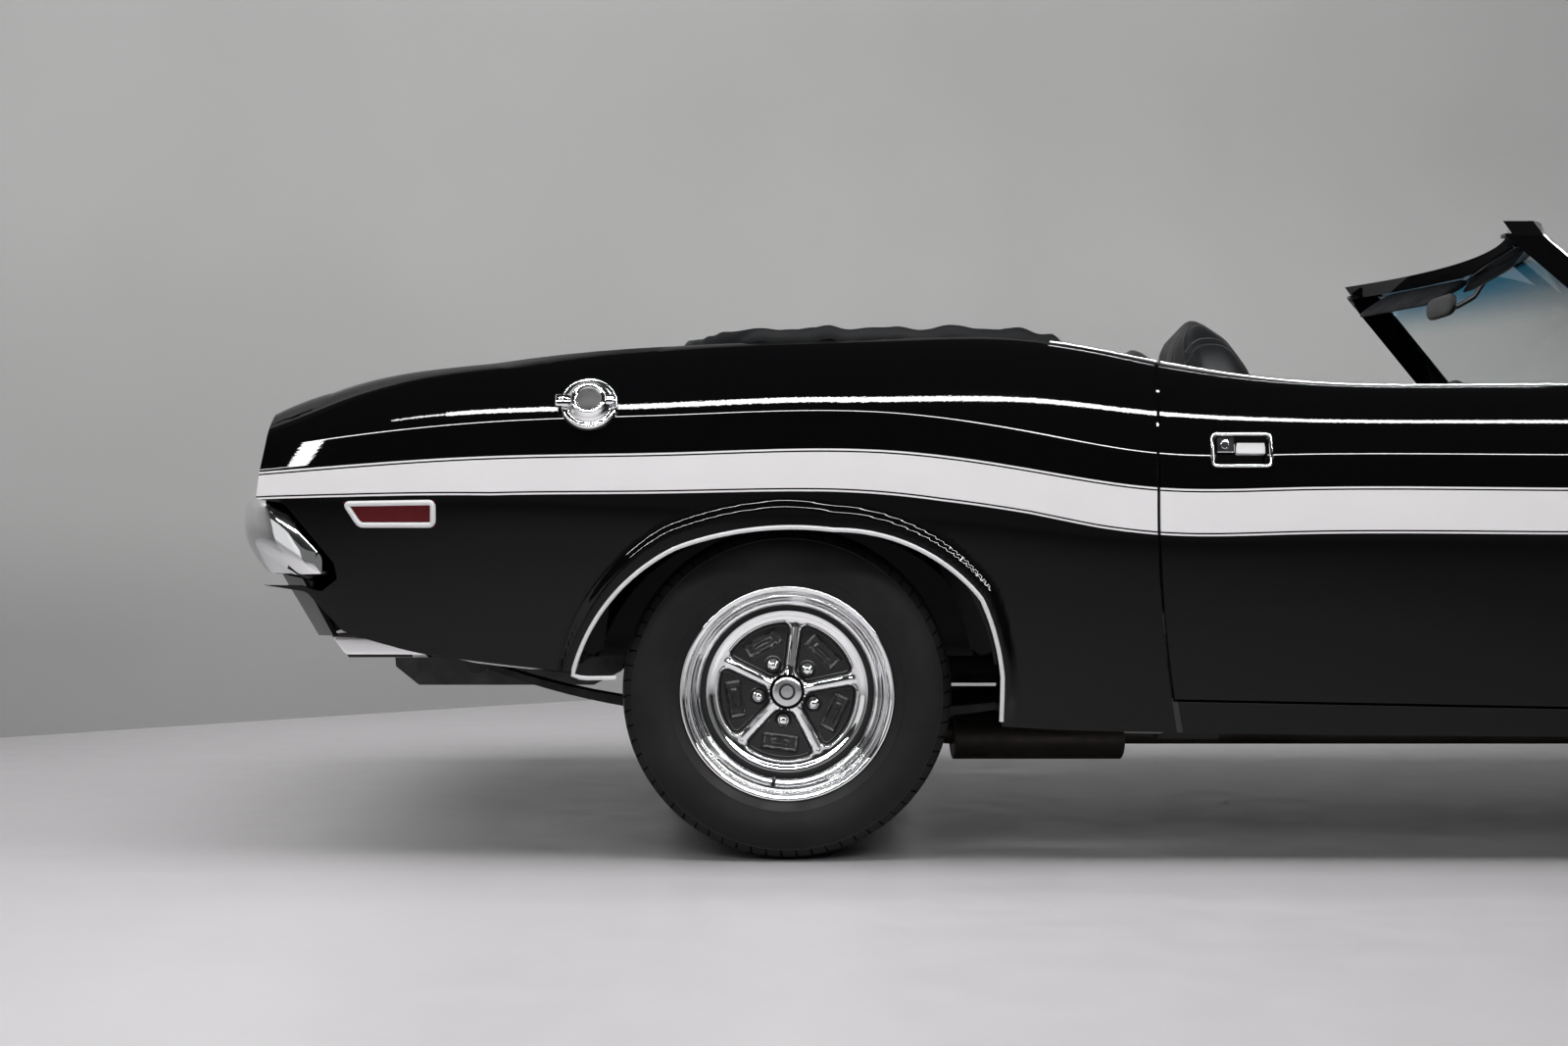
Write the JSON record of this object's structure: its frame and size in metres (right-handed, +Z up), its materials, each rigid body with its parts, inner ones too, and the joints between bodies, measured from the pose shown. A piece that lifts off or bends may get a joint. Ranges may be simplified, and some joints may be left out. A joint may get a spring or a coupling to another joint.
{
  "type": "muscle car convertible",
  "caption": "Two-door muscle car convertible with its top folded under a vinyl boot, hinged doors, hood and deck lid, steered front wheels and turning road wheels.",
  "frame": {"origin": "on the ground, under the middle of the overall length and width", "axes": "+X forward, +Y to the car's left, +Z up"},
  "size_m": [4.86, 1.9354, 1.2679],
  "materials": {
    "paint": "gloss black paint, white and black side stripe",
    "chrome": "polished chrome",
    "wheel_chrome": "polished chrome with black windows",
    "grille_black": "satin black",
    "lamp_clear": "clear lamp glass",
    "lamp_red": "red lens",
    "marker": "red and amber lenses",
    "glass": "clear glass with a blue shade band",
    "underbody": "satin black",
    "vinyl_boot": "grained black vinyl",
    "vinyl_trim": "grained black vinyl",
    "trim_plastic": "matt black",
    "iron": "dark cast iron",
    "spring_steel": "dark steel",
    "tank_steel": "galvanised steel",
    "exhaust_steel": "heat-stained steel, bright tips",
    "tyre": "black rubber"
  },
  "bodies": {
    "body": {"quarter_panel_right": "paint", "quarter_panel_left": "paint", "front_fender_right": "paint", "front_fender_left": "paint", "nose_panel": "paint", "tail_panel": "paint", "valances": "paint", "grille": "grille_black", "headlamps": "lamp_clear", "tail_lamps": "lamp_red", "side_markers": "marker", "rear_bumper": "chrome", "front_bumper": "chrome", "windshield_frame": "chrome", "windshield_glass": "glass", "fuel_cap": "chrome", "floor_pan": "underbody", "front_structure": "underbody", "top_boot": "vinyl_boot", "front_seats": "vinyl_trim", "rear_seat": "vinyl_trim", "dashboard": "trim_plastic", "steering_wheel": "trim_plastic", "console": "trim_plastic", "sun_visors": "vinyl_trim", "rear_axle": "iron", "leaf_springs": "spring_steel", "engine": "iron", "front_suspension": "iron", "fuel_tank": "tank_steel", "exhaust": "exhaust_steel"},
    "hood": {"hood": "paint"},
    "deck_lid": {"deck_lid": "paint"},
    "door_right": {"door_right": "paint"},
    "door_left": {"door_left": "paint"},
    "knuckle_right": {"knuckle_right": "iron"},
    "knuckle_left": {"knuckle_left": "iron"},
    "wheel_front_right": {"tyre_front_right": "tyre", "rim_front_right": "wheel_chrome"},
    "wheel_front_left": {"tyre_front_left": "tyre", "rim_front_left": "wheel_chrome"},
    "wheel_rear_right": {"tyre_rear_right": "tyre", "rim_rear_right": "wheel_chrome"},
    "wheel_rear_left": {"tyre_rear_left": "tyre", "rim_rear_left": "wheel_chrome"}
  },
  "joints": [
    {"name": "hood_hinge", "type": "hinge", "parent": "body", "child": "hood", "pos_m": [0.99, 0, 0.893], "axis": [0, -1, 0], "range_deg": [0, 48]},
    {"name": "deck_lid_hinge", "type": "hinge", "parent": "body", "child": "deck_lid", "pos_m": [-1.675, 0, 0.978], "axis": [0, 1, 0], "range_deg": [0, 62]},
    {"name": "door_right_hinge", "type": "hinge", "parent": "body", "child": "door_right", "pos_m": [0.66, -0.941, 0.6], "axis": [0, 0, 1], "range_deg": [0, 68]},
    {"name": "door_left_hinge", "type": "hinge", "parent": "body", "child": "door_left", "pos_m": [0.66, 0.941, 0.6], "axis": [0, 0, -1], "range_deg": [0, 68]},
    {"name": "steer_right", "type": "hinge", "parent": "body", "child": "knuckle_right", "pos_m": [1.494, -0.698, 0.323], "axis": [0, 0, 1], "range_deg": [-30, 30]},
    {"name": "steer_left", "type": "hinge", "parent": "body", "child": "knuckle_left", "pos_m": [1.494, 0.698, 0.323], "axis": [0, 0, 1], "range_deg": [-30, 30]},
    {"name": "wheel_front_right_spin", "type": "hinge", "parent": "knuckle_right", "child": "wheel_front_right", "pos_m": [1.494, -0.758, 0.323], "axis": [0, 1, 0], "continuous": true},
    {"name": "wheel_front_left_spin", "type": "hinge", "parent": "knuckle_left", "child": "wheel_front_left", "pos_m": [1.494, 0.758, 0.323], "axis": [0, 1, 0], "continuous": true},
    {"name": "wheel_rear_right_spin", "type": "hinge", "parent": "body", "child": "wheel_rear_right", "pos_m": [-1.3, -0.771, 0.323], "axis": [0, 1, 0], "continuous": true},
    {"name": "wheel_rear_left_spin", "type": "hinge", "parent": "body", "child": "wheel_rear_left", "pos_m": [-1.3, 0.771, 0.323], "axis": [0, 1, 0], "continuous": true}
  ],
  "couplings": [
    {"joint": "steer_left", "follows": "steer_right", "ratio": 1}
  ]
}
